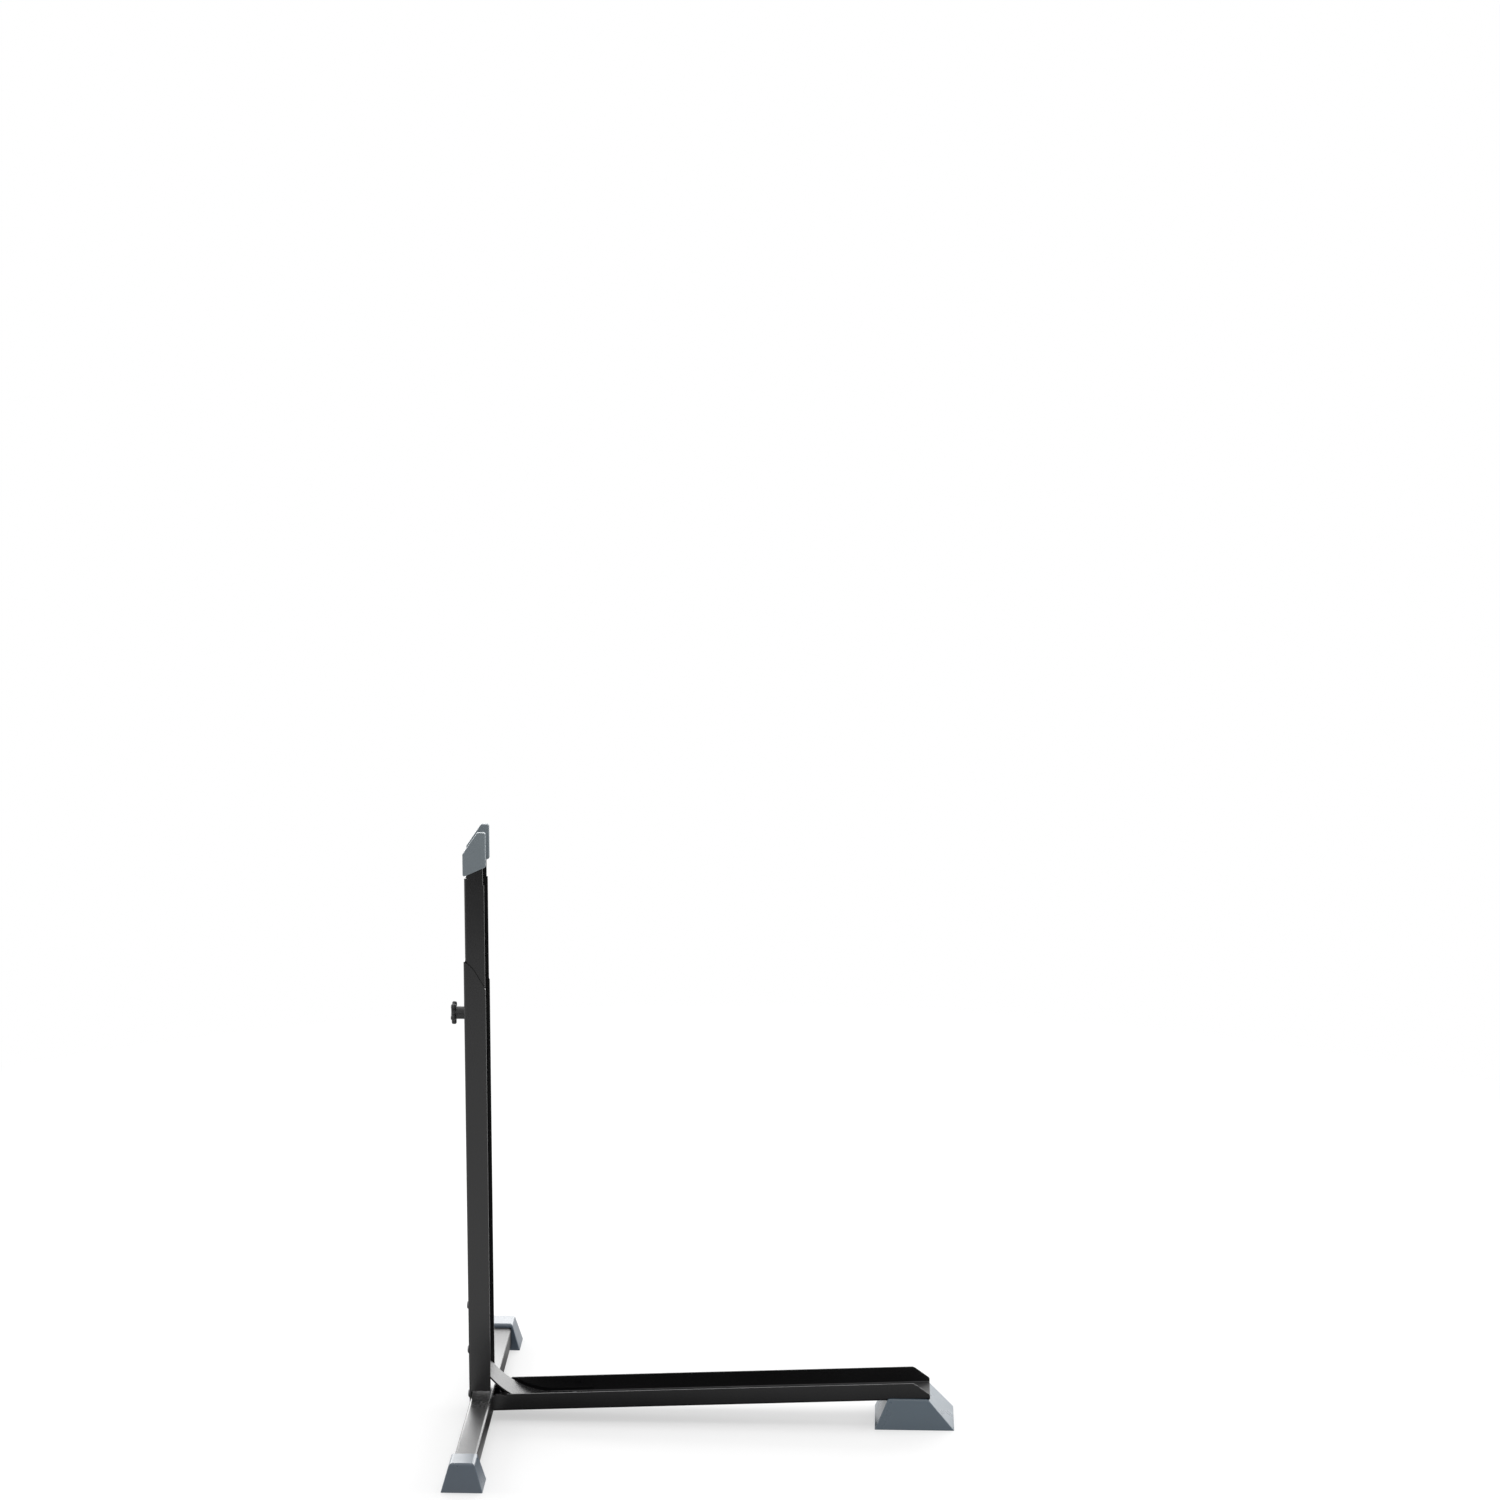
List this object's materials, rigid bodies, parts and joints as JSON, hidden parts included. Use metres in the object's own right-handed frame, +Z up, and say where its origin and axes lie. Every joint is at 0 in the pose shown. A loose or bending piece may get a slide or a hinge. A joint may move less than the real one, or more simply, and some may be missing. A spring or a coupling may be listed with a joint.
{
  "type": "freestanding bike rack",
  "caption": "L-shaped floor rack for a bicycle's rear wheel: telescoping channel post with two capped prongs, channel rail, crossbar and tapered feet.",
  "frame": {"origin": "middle of the bounding box on the floor, under the rail", "axes": "+X along the rail from the post towards the rail's foot, +Y across the rack along the crossbar, +Z up the post"},
  "size_m": [0.6127, 0.5194, 0.74],
  "materials": {
    "black_paint": "semi-gloss powder coat, fine texture",
    "black_gloss": "glossy black enamel",
    "grey_plastic": "satin moulded blue-grey plastic",
    "grey_rubber": "satin soft grey rubber",
    "black_steel": "black oxide",
    "zinc_steel": "bright zinc plating",
    "black_plastic": "satin moulded"
  },
  "bodies": {
    "base": {"lower_post": "black_paint", "base_rail": "black_paint", "crossbar": "black_gloss", "crossbar_foot_near": "grey_plastic", "crossbar_foot_far": "grey_plastic", "rail_foot": "grey_plastic", "corner_brace": "black_gloss", "brace_spacer": "black_steel", "brace_wedge_washer": "black_steel", "post_screw_low": "black_steel", "post_screw_middle": "black_steel", "post_screw_high": "black_steel", "post_nut_low": "black_steel", "post_nut_middle": "black_steel", "post_nut_high": "black_steel", "brace_screw": "black_steel", "brace_nut": "black_steel", "rail_foot_screw_1": "black_steel", "rail_foot_screw_2": "black_steel", "clamp_bolt": "zinc_steel"},
    "sliding_post": {"upper_post": "black_paint", "prong_cap_near": "grey_rubber", "prong_cap_far": "grey_rubber"},
    "knob_carrier": {"knob_washer": "zinc_steel"},
    "knob": {"knob_head": "black_plastic", "knob_insert": "zinc_steel"}
  },
  "joints": [
    {"name": "post_slide", "type": "slide", "parent": "base", "child": "sliding_post", "axis": [0, 0, 1], "range_m": [-0.06, 0.1]},
    {"name": "knob_travel", "type": "slide", "parent": "base", "child": "knob_carrier", "axis": [-1, 0, 0], "range_m": [0, 0.0038]},
    {"name": "knob_turn", "type": "hinge", "parent": "knob_carrier", "child": "knob", "pos_m": [-0.29795, 0, 0.511], "axis": [-1, 0, 0], "range_deg": [0, 1080]}
  ],
  "couplings": [
    {"joint": "knob_travel", "follows": "knob_turn", "m_per_rad": 0.00019894}
  ]
}
